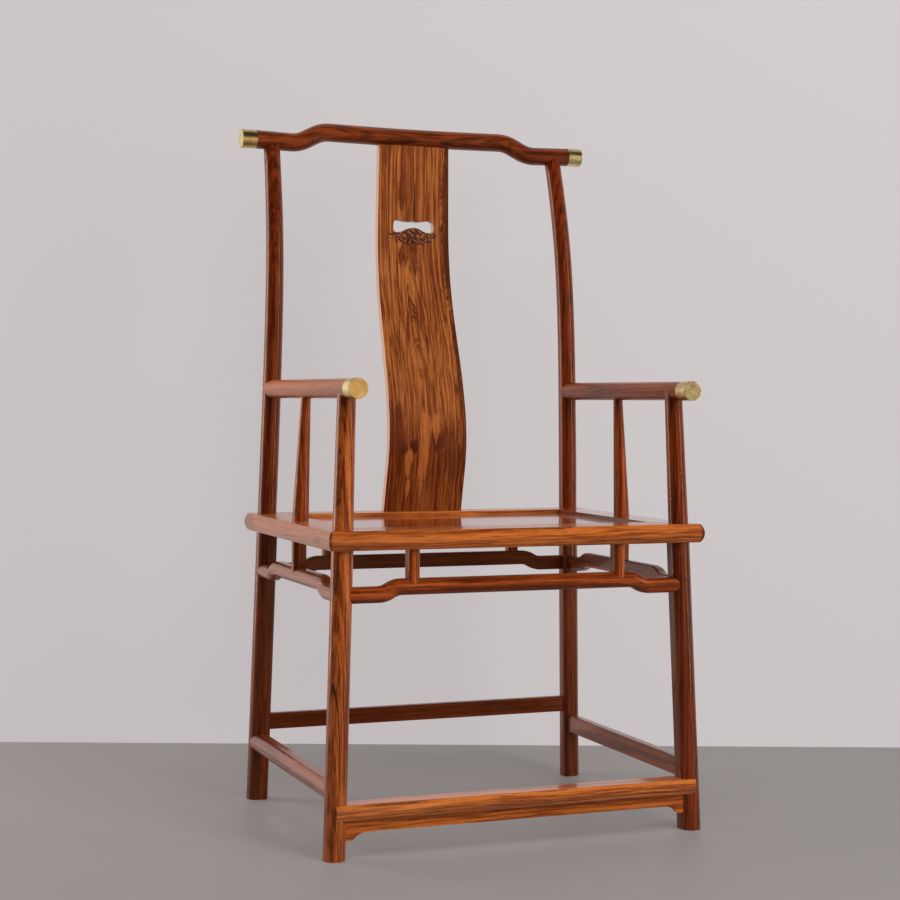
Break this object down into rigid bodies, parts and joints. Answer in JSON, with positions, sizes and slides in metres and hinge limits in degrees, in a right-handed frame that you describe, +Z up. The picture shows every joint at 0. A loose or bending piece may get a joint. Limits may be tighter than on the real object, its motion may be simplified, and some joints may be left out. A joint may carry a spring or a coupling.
{
  "type": "official hat armchair",
  "caption": "Rosewood frame armchair with a yoke-shaped crest rail, S-curved carved splat, open arms, framed board seat, humpback stretchers and brass end caps.",
  "frame": {"origin": "centre of the overall bounding box in plan, on the floor under the legs", "axes": "+Z up, the sitter faces -Y, +X is towards the right as seen from in front"},
  "size_m": [0.651, 0.5596, 1.1899],
  "materials": {
    "rosewood_upright": "satin clear finish over streaked rosewood",
    "rosewood_round": "satin clear finish over streaked rosewood",
    "rosewood_stretcher": "satin clear finish over streaked rosewood",
    "rosewood_rail": "satin clear finish over streaked rosewood",
    "rosewood_front_rail": "satin clear finish over streaked rosewood",
    "rosewood_foot_rail": "satin clear finish over streaked rosewood",
    "rosewood_splat": "satin clear finish over streaked rosewood",
    "rosewood_panel": "satin clear finish over streaked rosewood",
    "brass": "polished, with fine wear"
  },
  "bodies": {
    "root": {"arm_cap_left": "brass", "arm_cap_right": "brass", "arm_left": "rosewood_round", "arm_right": "rosewood_round", "arm_spindle_left": "rosewood_upright", "arm_spindle_right": "rosewood_upright", "back_splat": "rosewood_splat", "crest_cap_left": "brass", "crest_cap_right": "brass", "crest_rail": "rosewood_round", "foot_rail": "rosewood_foot_rail", "foot_rail_apron": "rosewood_stretcher", "front_leg_left": "rosewood_upright", "front_leg_right": "rosewood_upright", "hump_stretcher_front": "rosewood_stretcher", "hump_stretcher_left": "rosewood_stretcher", "hump_stretcher_rear": "rosewood_stretcher", "hump_stretcher_right": "rosewood_stretcher", "rear_leg_left": "rosewood_upright", "rear_leg_right": "rosewood_upright", "rear_stretcher": "rosewood_stretcher", "seat_batten_left": "rosewood_stretcher", "seat_batten_right": "rosewood_stretcher", "seat_panel": "rosewood_panel", "seat_rail_front": "rosewood_front_rail", "seat_rail_left": "rosewood_rail", "seat_rail_rear": "rosewood_rail", "seat_rail_right": "rosewood_rail", "side_stretcher_left": "rosewood_stretcher", "side_stretcher_right": "rosewood_stretcher", "strut_front_left": "rosewood_upright", "strut_front_right": "rosewood_upright", "strut_left": "rosewood_upright", "strut_rear_left": "rosewood_upright", "strut_rear_right": "rosewood_upright", "strut_right": "rosewood_upright"}
  },
  "joints": []
}
